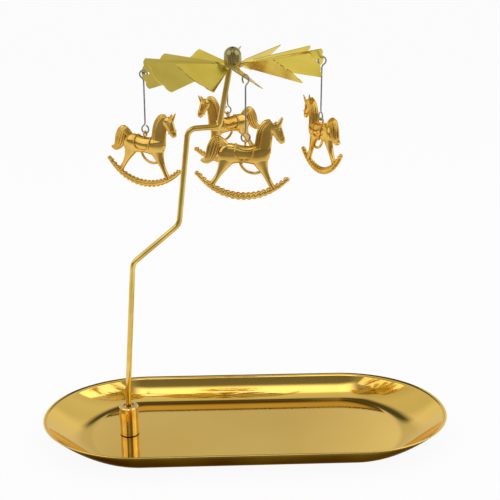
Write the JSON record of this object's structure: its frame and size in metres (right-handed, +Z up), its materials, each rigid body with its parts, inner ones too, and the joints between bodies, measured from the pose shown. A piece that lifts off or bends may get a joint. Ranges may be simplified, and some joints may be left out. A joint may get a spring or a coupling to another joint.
{
  "type": "candle carousel",
  "caption": "Candle-heat carousel: an oval tray carries a cranked rod on whose needle a bladed rotor turns, with rocking-horse pendants hung from its blades on wire hooks.",
  "frame": {"origin": "on the table under the middle of the tray's flat bottom", "axes": "X along the tray, away from the rod's socket; Y away from the front; Z up"},
  "size_m": [0.23, 0.1068, 0.2178],
  "materials": {
    "tray_gold": "mirror-polished gold-toned sheet",
    "socket_gold": "polished turned brass",
    "screw_steel": "bright zinc",
    "rod_brass": "drawn brass, lightly polished",
    "rotor_brass": "bright stamped brass sheet",
    "cap_brass": "turned brass",
    "hook_steel": "bright drawn wire",
    "horse_gold": "polished gold-plated casting"
  },
  "bodies": {
    "base": {"tray": "tray_gold", "rod_socket": "socket_gold", "socket_screw": "screw_steel"},
    "arm": {"support_rod": "rod_brass"},
    "rotor": {"rotor_fan": "rotor_brass", "pivot_cap": "cap_brass", "hub_collar": "cap_brass"},
    "hook_left": {"hook_left": "hook_steel"},
    "horse_left": {"horse_left": "horse_gold"},
    "hook_front": {"hook_front": "hook_steel"},
    "horse_front": {"horse_front": "horse_gold"},
    "hook_right": {"hook_right": "hook_steel"},
    "horse_right": {"horse_right": "horse_gold"},
    "hook_back": {"hook_back": "hook_steel"},
    "horse_back": {"horse_back": "horse_gold"}
  },
  "joints": [
    {"name": "arm_swivel", "type": "hinge", "parent": "base", "child": "arm", "pos_m": [-0.067, 0, 0.0098], "axis": [0, 0, 1], "continuous": true},
    {"name": "rotor_spin", "type": "hinge", "parent": "arm", "child": "rotor", "pos_m": [-0.0069, 0, 0.2145], "axis": [-0.061, 0, 0.9981], "continuous": true},
    {"name": "hook_left_swing", "type": "hinge", "parent": "rotor", "child": "hook_left", "pos_m": [-0.05211, -0.00276, 0.20439], "axis": [0.1392, 0.9903, 0], "range_deg": [-5, 20]},
    {"name": "hook_front_swing", "type": "hinge", "parent": "rotor", "child": "hook_front", "pos_m": [-0.00217, -0.04528, 0.2063], "axis": [-0.788, -0.6157, 0], "range_deg": [-5, 20]},
    {"name": "hook_right_swing", "type": "hinge", "parent": "rotor", "child": "hook_right", "pos_m": [0.03924, 0.00224, 0.21033], "axis": [-0.3584, -0.9336, 0], "range_deg": [-5, 20]},
    {"name": "hook_back_swing", "type": "hinge", "parent": "rotor", "child": "hook_back", "pos_m": [-0.00846, 0.04583, 0.20762], "axis": [0.8988, -0.4384, 0], "range_deg": [-5, 20]},
    {"name": "horse_left_rock", "type": "hinge", "parent": "hook_left", "child": "horse_left", "pos_m": [-0.05211, -0.00276, 0.17527], "axis": [0.5, 0.866, 0], "range_deg": [-20, 20]},
    {"name": "horse_front_rock", "type": "hinge", "parent": "hook_front", "child": "horse_front", "pos_m": [-0.00217, -0.04528, 0.17813], "axis": [0, 1, 0], "range_deg": [-20, 20]},
    {"name": "horse_right_rock", "type": "hinge", "parent": "hook_right", "child": "horse_right", "pos_m": [0.03924, 0.00224, 0.1806], "axis": [-0.9397, -0.342, 0], "range_deg": [-20, 20]},
    {"name": "horse_back_rock", "type": "hinge", "parent": "hook_back", "child": "horse_back", "pos_m": [-0.00846, 0.04583, 0.17775], "axis": [0.4226, -0.9063, 0], "range_deg": [-20, 20]}
  ]
}
